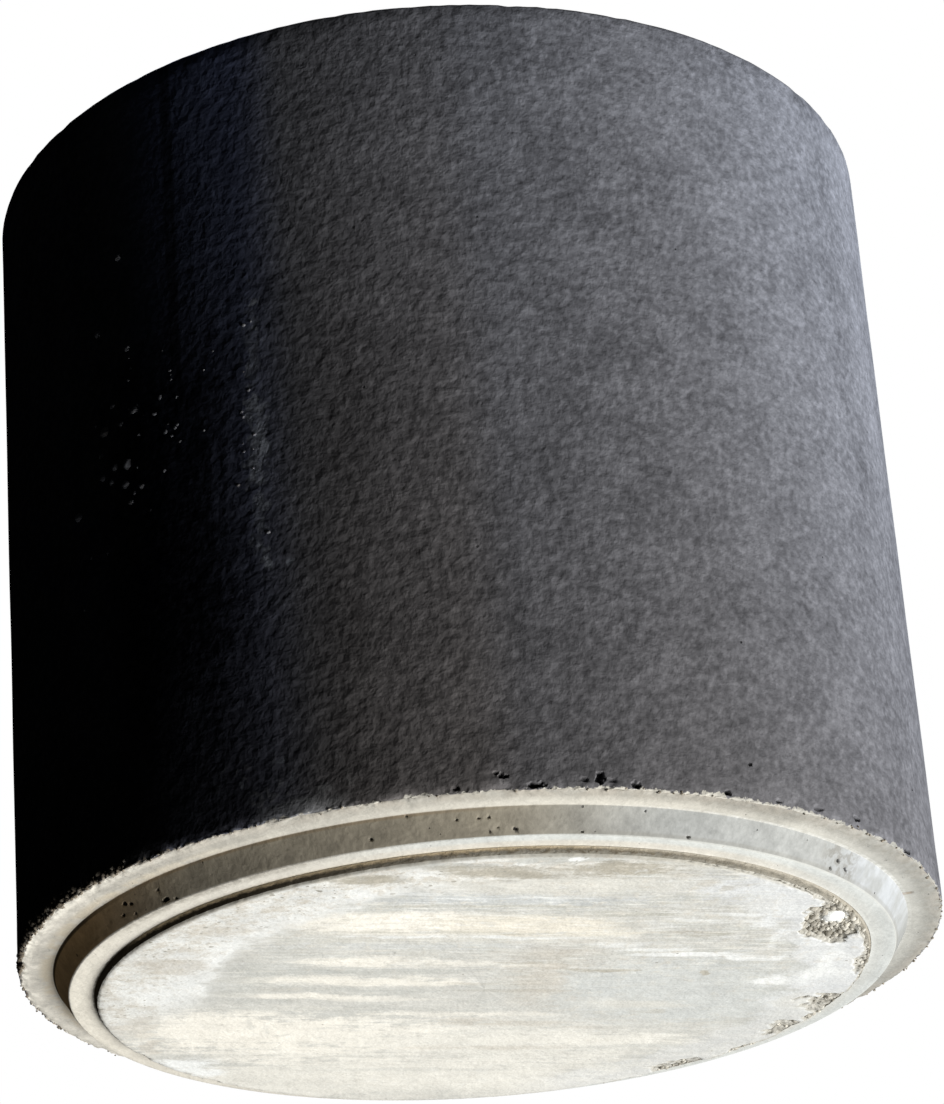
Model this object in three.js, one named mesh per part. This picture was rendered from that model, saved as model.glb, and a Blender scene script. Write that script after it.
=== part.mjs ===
// A concrete sewer pipe section with a spigot at its closed end and a socket rebate at its open end.
// Lengths are in millimetres. The pipe stands on its closed end: the plug face lies on z = 0,
// the origin is at the centre of that face, and the pipe's axis is +Z.

import * as THREE from 'three';

// Barrel
const outerDiameter = 740;
const boreDiameter = 600;
const overallLength = 690;
const endWallThickness = 90;      // plug face to the floor of the bore

// Plug: the screeded disc that closes the end, standing proud of the spigot's tip
const plugFaceDiameter = 616;
const plugRootDiameter = 620;
const plugProud = 7;

// Spigot: the conical nose between its flat tip and the shoulder
const spigotTipDiameter = 660;
const spigotRootDiameter = 684;
const spigotLength = 19.5;

// Socket rebate inside the open end, which receives the next pipe's spigot
const jointGap = 4;               // room for the mortar or the sealing ring, all round
const socketFloorGap = 3;         // left between the spigot's tip and the ledge of the rebate

// Rounded edges
const plugEdgeRadius = 2.5;
const tipEdgeRadius = 2;
const shoulderEdgeRadius = 5;
const rimEdgeRadius = 5;
const mouthEdgeRadius = 3;
const ledgeEdgeRadius = 4;
const boreFloorRadius = 18;

// Facets
const turnSegments = 96;
const edgeSteps = 2;
const boreFloorSteps = 4;

const shoulderHeight = plugProud + spigotLength;
const socketMouthRadius = spigotRootDiameter / 2 + jointGap;
const socketFootRadius = spigotTipDiameter / 2 + jointGap;
const ledgeHeight = overallLength - spigotLength - socketFloorGap;

const castConcrete = new THREE.MeshStandardMaterial({
  name: 'cast_concrete',
  color: 0x6a6b69,
  roughness: 0.93,
  metalness: 0
});

// A corner of the turned section: its radius from the axis, its height, and how round it is.
function corner(radius, height, round = 0, steps = edgeSteps) {
  return { at: new THREE.Vector2(radius, height), round, steps };
}

// Replaces a corner by an arc that is tangent to the two straight stretches that meet there.
function roundedCorner(before, here, after) {
  if (here.round === 0) {
    return [here.at];
  }
  const back = before.at.clone().sub(here.at).normalize();
  const ahead = after.at.clone().sub(here.at).normalize();
  const halfAngle = Math.acos(back.dot(ahead)) / 2;
  const centre = here.at.clone().add(
    back.clone().add(ahead).normalize().multiplyScalar(here.round / Math.sin(halfAngle))
  );
  const tangentLength = here.round / Math.tan(halfAngle);
  const from = here.at.clone().addScaledVector(back, tangentLength).sub(centre);
  const to = here.at.clone().addScaledVector(ahead, tangentLength).sub(centre);
  const sweep = Math.atan2(from.cross(to), from.dot(to));
  const arc = [];
  for (let step = 0; step <= here.steps; step++) {
    const turned = from.clone().rotateAround(new THREE.Vector2(), sweep * step / here.steps);
    arc.push(turned.add(centre));
  }
  return arc;
}

// The half section, from the middle of the plug face round the outside to the middle of the bore's floor.
function pipeSection() {
  const corners = [
    corner(0, 0),
    corner(plugFaceDiameter / 2, 0, plugEdgeRadius),
    corner(plugRootDiameter / 2, plugProud),
    corner(spigotTipDiameter / 2, plugProud, tipEdgeRadius),
    corner(spigotRootDiameter / 2, shoulderHeight),
    corner(outerDiameter / 2, shoulderHeight, shoulderEdgeRadius),
    corner(outerDiameter / 2, overallLength, rimEdgeRadius),
    corner(socketMouthRadius, overallLength, mouthEdgeRadius),
    corner(socketFootRadius, ledgeHeight),
    corner(boreDiameter / 2, ledgeHeight, ledgeEdgeRadius),
    corner(boreDiameter / 2, endWallThickness, boreFloorRadius, boreFloorSteps),
    corner(0, endWallThickness)
  ];
  return corners.flatMap((here, index) =>
    roundedCorner(corners[index - 1], here, corners[index + 1])
  );
}

function pipe() {
  const turned = new THREE.LatheGeometry(pipeSection(), turnSegments);
  turned.rotateX(Math.PI / 2);    // the lathe turns about Y, and the pipe stands along Z
  const mesh = new THREE.Mesh(turned, castConcrete);
  mesh.name = 'pipe';
  return mesh;
}

const sewerPipe = new THREE.Group();
sewerPipe.add(pipe());

export default sewerPipe;
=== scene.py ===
import math
import random
import bmesh
import bpy
from mathutils import Matrix, Vector, noise


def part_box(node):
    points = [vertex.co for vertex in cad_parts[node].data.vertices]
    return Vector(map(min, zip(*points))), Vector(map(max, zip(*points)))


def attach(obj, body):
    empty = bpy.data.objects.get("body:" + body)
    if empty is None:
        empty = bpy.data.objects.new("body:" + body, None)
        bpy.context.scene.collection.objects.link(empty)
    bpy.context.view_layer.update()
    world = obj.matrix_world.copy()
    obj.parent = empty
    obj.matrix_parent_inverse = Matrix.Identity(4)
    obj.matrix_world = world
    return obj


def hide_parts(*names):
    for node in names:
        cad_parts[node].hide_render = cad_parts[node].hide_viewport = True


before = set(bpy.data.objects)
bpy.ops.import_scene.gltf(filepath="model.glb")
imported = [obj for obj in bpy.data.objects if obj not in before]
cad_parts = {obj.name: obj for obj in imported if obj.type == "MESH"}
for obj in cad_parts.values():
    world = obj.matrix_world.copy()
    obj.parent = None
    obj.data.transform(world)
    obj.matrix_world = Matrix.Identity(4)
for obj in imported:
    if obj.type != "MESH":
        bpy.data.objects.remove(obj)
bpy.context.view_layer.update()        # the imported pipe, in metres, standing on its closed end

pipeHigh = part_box("pipe")[1]
outerRadius = pipeHigh.x
pipeHeight = pipeHigh.z
print("frame loaded, pipe", round(outerRadius * 2, 4), "m across and", round(pipeHeight, 4), "m high")


# the camera stands in front of the pipe and lower than it, and looks up at the closed end
cameraSet = {
    "place": (0.0, -2.8986, -0.9328),
    "turn": 0.335,           # degrees to the right of +Y
    "rise": 24.424,          # degrees above the horizon
    "roll": -4.389,
    "lens": 123.4,
}


def addObject(name, data):
    thing = bpy.data.objects.new(name, data)
    bpy.context.collection.objects.link(thing)
    return thing


def makeCamera():
    turn, rise, roll = (math.radians(cameraSet[key]) for key in ("turn", "rise", "roll"))
    ahead = Vector((math.sin(turn) * math.cos(rise), math.cos(turn) * math.cos(rise), math.sin(rise)))
    level = Vector((math.cos(turn), -math.sin(turn), 0))
    above = level.cross(ahead)
    right = level * math.cos(roll) + above * math.sin(roll)
    up = above * math.cos(roll) - level * math.sin(roll)
    data = bpy.data.cameras.new("camera")
    data.lens = cameraSet["lens"]
    camera = addObject("camera", data)
    axes = Matrix((right, up, -ahead)).transposed().to_4x4()
    camera.matrix_world = Matrix.Translation(cameraSet["place"]) @ axes
    bpy.context.scene.camera = camera


makeCamera()
print("camera ready")


# a node's output that can be added, multiplied and so on; each sum becomes a Math node
class Wire:
    def __init__(self, finish, socket):
        self.finish = finish
        self.socket = socket

    def sum(self, operation, first, second):
        return self.finish.add("Math", {"operation": operation}, {0: first, 1: second})

    def other(self, name):
        return Wire(self.finish, self.socket.node.outputs[name])

    def __add__(self, value):
        return self.sum("ADD", self, value)

    __radd__ = __add__

    def __sub__(self, value):
        return self.sum("SUBTRACT", self, value)

    def __rsub__(self, value):
        return self.sum("SUBTRACT", value, self)

    def __mul__(self, value):
        return self.sum("MULTIPLY", self, value)

    __rmul__ = __mul__

    def most(self, value):
        return self.sum("MAXIMUM", self, value)

    # 0 at the first value and before it, top at the second and past it, and smooth between them
    def fade(self, start, end, top=1.0):
        ends = {"Value": self, "From Min": start, "From Max": end, "To Max": top}
        return self.finish.add("MapRange", {"interpolation_type": "SMOOTHSTEP"}, ends)

    # top close to a middle value, and 0 from its reach on
    def near(self, middle, reach, top=1.0):
        gap = self.finish.add("Math", {"operation": "ABSOLUTE"}, {0: self - middle})
        return gap.fade(reach, reach * 0.4, top)


# the nodes of a new material, given its name, or of the world, and the one method that adds any node
class Finish:
    def __init__(self, owner):
        self.owner = bpy.data.materials.new(owner) if isinstance(owner, str) else owner
        self.owner.use_nodes = True
        self.tree = self.owner.node_tree
        self.tree.nodes.clear()

    def add(self, kind, settings=None, sockets=None, output=0):
        node = self.tree.nodes.new("ShaderNode" + kind)
        for name, value in (settings or {}).items():
            setattr(node, name, value)
        for name, value in (sockets or {}).items():
            if isinstance(value, Wire):
                self.tree.links.new(value.socket, node.inputs[name])
            else:
                node.inputs[name].default_value = value
        return Wire(self, node.outputs[output]) if node.outputs else None

    # a colour is a wire, three numbers, or a name in castLook
    def colour(self, given):
        return given if isinstance(given, Wire) else (*castLook.get(given, given), 1)

    # sockets 6 and 7 are the Mix node's two colours, and output 2 its result
    def blend(self, factor, first, second):
        sockets = {0: factor, 6: self.colour(first), 7: self.colour(second)}
        return self.add("Mix", {"data_type": "RGBA"}, sockets, 2)

    # colours laid one over the other: each with how much of it shows
    def layers(self, colour, *coats):
        for share, coat in coats:
            colour = self.blend(share, colour, coat)
        return colour

    def vector(self, operation, first, second, output=0):
        return self.add("VectorMath", {"operation": operation}, {0: first, 1: second}, output)

    # a colour made lighter or darker by a tone that is 1 on average
    def toned(self, given, tone):
        return self.vector("MULTIPLY", castLook.get(given, given), tone)

    # the place on the pipe in metres, its X (with Y and Z as its other outputs), its azimuth in
    # radians, and its distance from the axis
    def place(self):
        place = self.add("TexCoord", output="Object")
        xyz = self.add("SeparateXYZ", {}, {0: place})
        turn = self.add("Math", {"operation": "ARCTAN2"}, {0: xyz, 1: xyz.other("Y") * -1})
        return place, xyz, turn, self.away(place, (0, 0), (1, 1))

    # level distance from a middle, counted in half widths: 1 on the outline of an ellipse
    def away(self, place, middle, halves):
        scale = [1 / half for half in halves] + [0]
        shift = [-at / half for at, half in zip(middle, halves)] + [0]
        local = self.add("VectorMath", {"operation": "MULTIPLY_ADD"}, {0: place, 1: scale, 2: shift})
        return self.vector("LENGTH", local, (0, 0, 0), "Value")

    # cloudy noise whose blobs are about size metres across, from 0 to 1
    def clouds(self, place, size, detail=2.0, rough=0.5, output=0):
        sockets = {"Vector": place, "Scale": 1 / size, "Detail": detail, "Roughness": rough}
        return self.add("TexNoise", {"noise_dimensions": "3D"}, sockets, output)

    # cells, with the random colour of each taken apart
    def cells(self, place, size):
        cells = self.add("TexVoronoi", {"feature": "F1"}, {"Vector": place, "Scale": 1 / size})
        return cells, self.add("SeparateColor", {}, {"Color": cells.other("Color")})

    # round spots scattered in cells: share is how many cells hold one, radius is in cells
    def spots(self, place, size, share, radius):
        cells, chance = self.cells(place, size)
        inside = (cells - chance.other("Green") * (radius * 0.6)).fade(radius * 0.6, radius * 0.2)
        return inside * chance.fade(share + 0.001, share - 0.001)

    # how deep wear has cut, in metres
    def lost(self):
        return self.add("Attribute", {"attribute_name": "lost"}, output="Fac")

    # the material, from its colour and the height of its fine relief in metres
    def shade(self, colour, relief, roughness=None):
        normal = self.add("Bump", {}, {"Height": relief, "Strength": 1.0, "Distance": 1.0})
        sockets = {"Base Color": colour, "Normal": normal, "Specular IOR Level": castLook["gloss"]}
        sockets["Roughness"] = roughness or castLook["roughness"]
        shader = self.add("BsdfPrincipled", {}, sockets)
        self.add("OutputMaterial", {}, {"Surface": shader})
        return self.owner


# the pipe's half section, in metres
section = {
    "plugFace": 0.308,       # radii
    "plugRoot": 0.31,
    "spigotTip": 0.33,
    "spigotRoot": 0.342,
    "bore": 0.3,
    "plugProud": 0.007,      # heights
    "spigotLength": 0.0195,
    "endWall": 0.09,
    "jointGap": 0.004,
    "socketFloorGap": 0.003,
}
# short names for them, in the same order
(plugFace, plugRoot, spigotTip, spigotRoot, bore,
 plugProud, spigotLength, endWall, jointGap, socketFloorGap) = section.values()
shoulderHeight = plugProud + spigotLength
ledgeHeight = pipeHeight - spigotLength - socketFloorGap
mouthRadius = spigotRoot + jointGap

# how finely the turned form is cut up before the worn places are cut finer
meshSet = {
    "columns": 368,          # round the pipe, and each level of a row halves them
    "frontCrowding": 0.4,    # columns stand closer together at the front than at the back
    "arcSteps": 3,
}


# corners of the half section: radius, height, rounding, and for the stretch that ends there
# the spacing of its rows and their level
def sectionCorners():
    return [
        (0.0, 0.0, 0, 0, 4),
        (0.03, 0.0, 0, 0.01, 4),
        (0.08, 0.0, 0, 0.01, 3),
        (0.15, 0.0, 0, 0.009, 2),
        (0.23, 0.0, 0, 0.006, 1),
        (plugFace, 0.0, 0.0036, 0.0042, 0),
        (plugRoot, plugProud, 0.0016, 0.0026, 0),
        (spigotTip, plugProud, 0.0015, 0.0034, 0),
        (spigotRoot, shoulderHeight, 0, 0.0034, 0),
        (outerRadius, shoulderHeight, 0.0025, 0.0034, 0),
        (outerRadius, 0.066, 0, 0.0036, 0),
        (outerRadius, pipeHeight, 0.003, 0.014, 1),
        (mouthRadius, pipeHeight, 0.0025, 0.005, 1),
        (spigotTip + jointGap, ledgeHeight, 0, 0.006, 1),
        (bore, ledgeHeight, 0.004, 0.006, 1),
        (bore, endWall, 0.018, 0.02, 1),
        (0.15, endWall, 0, 0.02, 2),
        (0.08, endWall, 0, 0.02, 3),
        (0.03, endWall, 0, 0.02, 4),
        (0.0, endWall, 0, 0.02, 4),
    ]


# the two ends of the arc that rounds a corner, with its middle
def rounding(before, here, after):
    at = Vector(here[:2])
    back = (Vector(before[:2]) - at).normalized()
    ahead = (Vector(after[:2]) - at).normalized()
    half = back.angle(ahead) / 2
    middle = at + (back + ahead).normalized() * (here[2] / math.sin(half))
    reach = here[2] / math.tan(half)
    return at + back * reach, middle, at + ahead * reach


# rows of the surface: radius, height and level
def sectionRows():
    corners = sectionCorners()
    rows = []
    start = Vector(corners[0][:2])
    for index in range(1, len(corners)):
        here = corners[index]
        if here[2] > 0:
            stop, middle, leave = rounding(corners[index - 1], here, corners[index + 1])
        else:
            stop = leave = Vector(here[:2])
        along = stop - start
        count = max(1, round(along.length / here[3]))
        rows.extend((*(start + along * step / count), here[4]) for step in range(count))
        if here[2] > 0:
            first, last = stop - middle, leave - middle
            sweep = math.atan2(first.x * last.y - first.y * last.x, first.dot(last))
            for step in range(meshSet["arcSteps"]):
                spoke = Matrix.Rotation(sweep * step / meshSet["arcSteps"], 2) @ first
                rows.append((*(middle + spoke), here[4]))
        start = leave
    rows.append((*start, corners[-1][4]))
    return rows


# azimuth in radians of a column, 0 at the front (-Y) and growing towards +X
def columnAzimuth(share):
    turn = 2 * math.pi * share
    return turn - meshSet["frontCrowding"] * math.sin(turn)


# faces between two rings, of which one may have half as many points as the other, or only one
def joinRings(first, second):
    a, b = len(first), len(second)
    for i in range(min(a, b) if min(a, b) > 1 else max(a, b)):
        j = i + 1
        if a == 1:
            yield first[0], second[i], second[j % b]
        elif b == 1:
            yield first[i], second[0], first[j % a]
        elif a == b:
            yield first[i], second[i], second[j % b], first[j % a]
        elif b > a:
            yield first[i], second[2 * i], second[2 * i + 1]
            yield first[i], second[2 * i + 1], first[j % a]
            yield first[j % a], second[2 * i + 1], second[2 * j % b]
        else:
            yield first[2 * i], second[i], first[2 * i + 1]
            yield first[2 * i + 1], second[i], second[j % b]
            yield first[2 * i + 1], second[j % b], first[2 * j % a]


def turnedForm():
    form = bmesh.new()
    rings = []
    for radius, height, level in sectionRows():
        count = 1 if radius < 1e-6 else meshSet["columns"] >> level
        turns = [columnAzimuth(column / count) for column in range(count)]
        rings.append([form.verts.new((radius * math.sin(t), -radius * math.cos(t), height)) for t in turns])
    for first, second in zip(rings, rings[1:]):
        for corners in joinRings(first, second):
            form.faces.new(corners)
    bmesh.ops.recalc_face_normals(form, faces=form.faces)
    return form


# wear and damage: how deep the real surface lies under the plain turned one, in metres
wearSet = {
    "arrisReach": 0.0045,    # how far a broken edge spreads to each side
    "arrisLoss": 0.0005,
    "arrisTeeth": 0.003,
    "arrisBites": 0.006,
    "crustLumps": 0.0007,    # lumps of the shoulder's crust near the arris
    "faceWaves": 0.0006,     # slow unevenness of the screeded face
    "wallWaves": 0.0005,
    "plugTeeth": 0.0011,     # small teeth round the plug's edge
    "rimTeeth": 0.0016,
}


# rows of an azimuth in degrees and three or four lengths in millimetres, with the lengths in metres
def inMetres(rows, lengths=4):
    return [(row[0], *(size / 1000 for size in row[1:lengths + 1]), *row[lengths + 1:]) for row in rows]


# holes left by trapped air low on the wall: azimuth in degrees, height, half width, half height, depth
bugHoles = inMetres([
    (3.1, 41.3, 2.6, 2.1, 3),
    (3.6, 39.8, 3, 2.4, 3.2),
    (4.1, 38.2, 2.8, 2, 3),
    (7.4, 31.2, 7.4, 2.8, 4.4),
    (14.7, 36.8, 4.6, 5, 4.8),
    (13, 35, 4, 2.2, 1.8),
    (16, 34.5, 3.6, 2, 1.6),
    (18.9, 31.8, 4, 3.4, 4.4),
    (30.5, 32.6, 3.2, 2.8, 4),
    (33.9, 57.5, 1.9, 1.9, 2.6),
    (37.5, 32.5, 4.8, 2, 2.6),
    (-1.5, 31.8, 3, 1.6, 2),
    (44, 34.5, 6.4, 2.8, 1.8),
    (50.8, 36, 5, 2.8, 3),
    (63.5, 31.2, 5, 2.6, 3.4),
])

# pits in the sloping band of the spigot: azimuth, height, half width, half height, depth
bandPits = inMetres([
    (-51.5, 19.8, 3.4, 1.7, 3),
    (-50.4, 17.6, 2.4, 1.4, 2.4),
    (-53, 13.7, 3.6, 1.5, 2.8),
    (-50.5, 10.6, 2.2, 1.2, 2.4),
    (-44, 10.4, 4, 2, 3.2),
    (-44.6, 18, 2.2, 1.1, 1.6),
    (-42.3, 8.8, 2.2, 1.1, 2.2),
    (-12.7, 13.7, 2.5, 1.4, 2.4),
    (-7.9, 25, 1.8, 0.9, 1.2),
    (-1.8, 19.6, 2.1, 1, 1.8),
    (-1.5, 11.2, 1.3, 0.7, 1),
    (0.8, 19.6, 1.6, 0.8, 1.4),
    (2.1, 19.8, 1.9, 0.9, 1.6),
    (2.1, 10.7, 1.8, 0.9, 1.5),
    (3.2, 13.4, 1.3, 0.7, 1.1),
    (5.3, 11.7, 2.2, 1.4, 2.4),
    (13.8, 9.2, 1.8, 0.9, 1.8),
    (21.8, 23.5, 1.6, 1, 1.8),
    (28.3, 10, 2.6, 1, 2),
    (53.4, 10.8, 1.8, 1.2, 2),
    (54.5, 16.8, 2, 1.4, 2.2),
    (56.8, 13.4, 1.8, 1.2, 2),
])

# bare gravel where the cement washed out of the plug: middle, half sizes and depth
nest = {"x": 0.2735, "y": -0.1, "halfX": 0.0275, "halfY": 0.0515, "depth": 0.0046}

# stretches of the plug's edge that are broken: azimuth of the middle, half width in degrees,
# reach inward, depth
brokenEdges = [
    (70.0, 34.0, 0.0045, 0.002),
    (91.6, 4.6, 0.011, 0.003),
    (110.0, 5.0, 0.033, 0.0028),
    (117.0, 3.0, 0.01, 0.0022),
    (123.4, 4.0, 0.03, 0.0028),
    (135.5, 4.0, 0.008, 0.002),
    (148.2, 5.0, 0.025, 0.0026),
    (160.0, 6.0, 0.0045, 0.0016),
    (-130.0, 1.6, 0.005, 0.0026),
    (-112.0, 2.0, 0.004, 0.002),
]


def fuzz(point, size, shift=0.0):
    return noise.noise(Vector((point.x / size + shift, point.y / size, point.z / size)))


# distance in degrees between two azimuths
def turnBetween(first, second):
    return abs((first - second + 180) % 360 - 180)


# a value from 1 at the start to 0 at the end
def ease(value, start, end):
    share = min(1.0, max(0.0, (value - start) / (end - start)))
    return 1 - share * share * (3 - 2 * share)


# a point on the turned form, with what the wear needs to know of it
class Spot:
    def __init__(self, point):
        self.point = Vector(point)
        self.radius = math.hypot(point.x, point.y)
        self.height = point.z
        self.turn = math.degrees(math.atan2(point.x, -point.y))
        self.onWall = self.radius > outerRadius - 0.0026
        self.onPlug = self.radius < plugRoot + 0.0005 and self.height < plugProud
        self.onBand = spigotTip - 0.0002 < self.radius < spigotRoot + 0.0005
        self.fromArris = math.hypot(outerRadius - self.radius, max(self.height - shoulderHeight, 0))
        self.fromPlugEdge = math.hypot(plugFace - self.radius, self.height)

    # how far inside a nest or hole, 0 at its outline and 1 at its middle
    def inHole(self, hole, ragged=0.0):
        holeTurn, holeHeight, halfWidth, halfHeight = hole[:4]
        across = math.radians(turnBetween(self.turn, holeTurn)) * outerRadius / halfWidth
        upward = (self.height - holeHeight) / halfHeight
        return 1 - math.hypot(across, upward) - ragged

    def inNest(self, ragged=0.0):
        across = (self.point.x - nest["x"]) / nest["halfX"]
        along = (self.point.y - nest["y"]) / nest["halfY"]
        return 1 - math.hypot(across, along) - ragged


# more holes of the same kind round the side that is turned away
hiddenHoleSet = {
    "seed": 41,
    "count": 34,
    "turns": (70, 320),      # azimuths in degrees
    "widths": (0.002, 0.005),
    "above": 0.007,          # over the shoulder
    "spread": 0.008,
}


def addHiddenHoles():
    dice = random.Random(hiddenHoleSet["seed"])
    for _ in range(hiddenHoleSet["count"]):
        turn = dice.uniform(*hiddenHoleSet["turns"])
        width = dice.uniform(*hiddenHoleSet["widths"])
        height = shoulderHeight + hiddenHoleSet["above"] + abs(dice.gauss(0, hiddenHoleSet["spread"]))
        bugHoles.append((turn, height, width, width * dice.uniform(0.5, 0.9), width * 0.8))


# 1 where the arris is badly broken, at the far left, and half of that at the right
def brokenArris(turn):
    return max(ease(turnBetween(turn, -72), 20, 44), 0.5 * ease(turnBetween(turn, 88), 22, 48))


def arrisLoss(spot):
    if spot.height < shoulderHeight - 0.001 or spot.fromArris > 0.014:
        return 0.0
    wild = brokenArris(spot.turn)
    near = math.exp(-(spot.fromArris / (wearSet["arrisReach"] * (1 + wild * 0.3))) ** 2)
    teeth = abs(fuzz(spot.point, 0.0058)) + (0.6 - wild * 0.4) * abs(fuzz(spot.point, 0.0026, 9))
    bites = max(0.0, fuzz(spot.point, 0.021, 4) - 0.16) + wild * max(0.0, fuzz(spot.point, 0.011, 14)) * 0.3
    sharp = wearSet["arrisTeeth"] * teeth * (0.55 + wild * 0.15)
    return near * (wearSet["arrisLoss"] + sharp + wearSet["arrisBites"] * bites)


def crustLoss(spot):
    onShoulder = abs(spot.height - shoulderHeight) < 0.001 and spot.radius > spigotRoot + 0.003
    if not onShoulder:
        return 0.0
    lumps = 0.45 + fuzz(spot.point, 0.009, 21) + 0.4 * fuzz(spot.point, 0.0045, 23)
    return wearSet["crustLumps"] * max(0.0, lumps) * (1 - ease(spot.radius, 0.346, 0.358))


# the holes and pits that a spot may lie in
def holesNear(spot):
    if spot.onWall and shoulderHeight + 0.001 < spot.height < 0.075:
        return bugHoles
    return bandPits if spot.onBand and plugProud < spot.height < shoulderHeight else ()


def holeLoss(spot):
    depth = 0.0
    holes = [hole for hole in holesNear(spot) if turnBetween(spot.turn, hole[0]) < 3]
    if holes:
        ragged = 0.55 * fuzz(spot.point, 0.0034, 2) + 0.16 * fuzz(spot.point, 0.0016, 3)
        for hole in holes:
            depth = max(depth, hole[4] * (1 - ease(spot.inHole(hole, ragged), 0.0, 0.55)))
    return depth


def plugLoss(spot):
    if not spot.onPlug:
        return 0.0
    point = spot.point
    inward = plugFace - spot.radius
    ragged = 0.2 * fuzz(point, 0.018, 3) + 0.16 * fuzz(point, 0.006, 5)
    hollow = nest["depth"] * (1 - ease(spot.inNest(ragged), 0.0, 0.26))
    hollow = hollow * (0.94 + 0.26 * fuzz(point, 0.005, 7))
    for middle, halfTurn, reach, bite in brokenEdges:
        off = turnBetween(spot.turn, middle) / halfTurn
        if off < 1.3:
            wild = 1 + 0.8 * fuzz(point, 0.014, 5) + 0.4 * fuzz(point, 0.006, 6)
            share = ease(off * wild, 0.5, 1.15) * ease(inward / (reach * wild), 0.45, 1.0)
            hollow = max(hollow, bite * share * (0.8 + 0.7 * abs(fuzz(point, 0.006, 8))))
    teeth = wearSet["plugTeeth"] * ease(spot.fromPlugEdge, 0, 0.004) * max(0.0, fuzz(point, 0.006, 1) + 0.15)
    return hollow * (1 - 0.55 * ease(spot.height, 0.002, 0.0004)) + teeth


def rimLoss(spot):
    across = min(abs(outerRadius - spot.radius), abs(mouthRadius - spot.radius))
    fromRim = math.hypot(across, pipeHeight - spot.height)
    if spot.radius < mouthRadius - 0.01 or fromRim > 0.012:
        return 0.0
    teeth = abs(fuzz(spot.point, 0.008, 31)) + 2.6 * max(0.0, fuzz(spot.point, 0.03, 33) - 0.3)
    return math.exp(-(fromRim / 0.004) ** 2) * wearSet["rimTeeth"] * teeth


def lostDepth(spot):
    return arrisLoss(spot) + crustLoss(spot) + holeLoss(spot) + plugLoss(spot) + rimLoss(spot)


# slow unevenness, which isn't damage
def waveDepth(spot):
    if spot.onWall and spot.height > 0.04:
        between = (1 - ease(spot.height, 0.04, 0.09)) * ease(spot.height, pipeHeight - 0.03, pipeHeight)
        return wearSet["wallWaves"] * (0.5 + fuzz(spot.point, 0.11, 6)) * between
    if spot.onPlug and spot.radius > 0.02:
        inner = (1 - ease(plugFace - spot.radius, 0, 0.02)) * ease(spot.height, 0.0004, 0.002)
        return wearSet["faceWaves"] * (0.5 + fuzz(spot.point, 0.07, 12)) * inner
    return 0.0


def wornDepth(spot):
    return max(0.0, lostDepth(spot) + waveDepth(spot))


# how many times a face is halved: most at the arris, the holes and the broken gravel
def fineness(spot):
    if spot.height > 0.08 or spot.radius < 0.22:
        return 0
    deepest = max((hole[4] for hole in holesNear(spot) if spot.inHole(hole) > -0.7), default=0)
    if deepest > 0:
        return 3 if deepest > 0.0029 and abs(spot.turn) < 60 else 2
    if spot.height > shoulderHeight - 0.001 and spot.fromArris < 0.005 + 0.003 * brokenArris(spot.turn):
        return 2 if abs(spot.turn) < 125 else 1
    if spot.onPlug:
        if spot.inNest() > -0.3:
            return 2
        inward = plugFace - spot.radius
        for middle, halfTurn, reach, _ in brokenEdges:
            if turnBetween(spot.turn, middle) < halfTurn * 1.2 and inward < reach * 1.3:
                return 2
        if spot.fromPlugEdge < 0.004:
            return 1
    return 0


def cutFiner(form):
    for level in range(3):
        form.normal_update()
        edges = set()
        for face in form.faces:
            if fineness(Spot(face.calc_center_median())) > level:
                edges.update(face.edges)
        bmesh.ops.subdivide_edges(form, edges=list(edges), cuts=1, use_grid_fill=True)


# which finish a face gets, by the place of its middle: 0 wall, 1 joint, 2 plug, 3 inside
def finishIndex(spot):
    if spot.onPlug and spot.radius < plugFace + 0.0006 and spot.height < 0.0012:
        return 2
    if spot.height > shoulderHeight + 0.0004 and spot.radius > outerRadius - 0.004:
        return 0
    if spot.height < shoulderHeight + 0.0005:
        return 1
    return 3


def wearDown(form):
    form.normal_update()
    lost = form.verts.layers.float.new("lost")
    for face in form.faces:
        face.material_index = finishIndex(Spot(face.calc_center_median()))
        face.smooth = True
    moves = []
    for vert in form.verts:
        spot = Spot(vert.co)
        vert[lost] = max(0.0, lostDepth(spot))
        moves.append(vert.co - vert.normal * (vert[lost] + max(0.0, waveDepth(spot))))
    for vert, place in zip(form.verts, moves):
        vert.co = place


def pipeMesh():
    form = turnedForm()
    cutFiner(form)
    wearDown(form)
    mesh = bpy.data.meshes.new("castPipe")
    form.to_mesh(mesh)
    form.free()
    mesh.set_sharp_from_angle(angle=math.radians(42))
    return mesh


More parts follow.
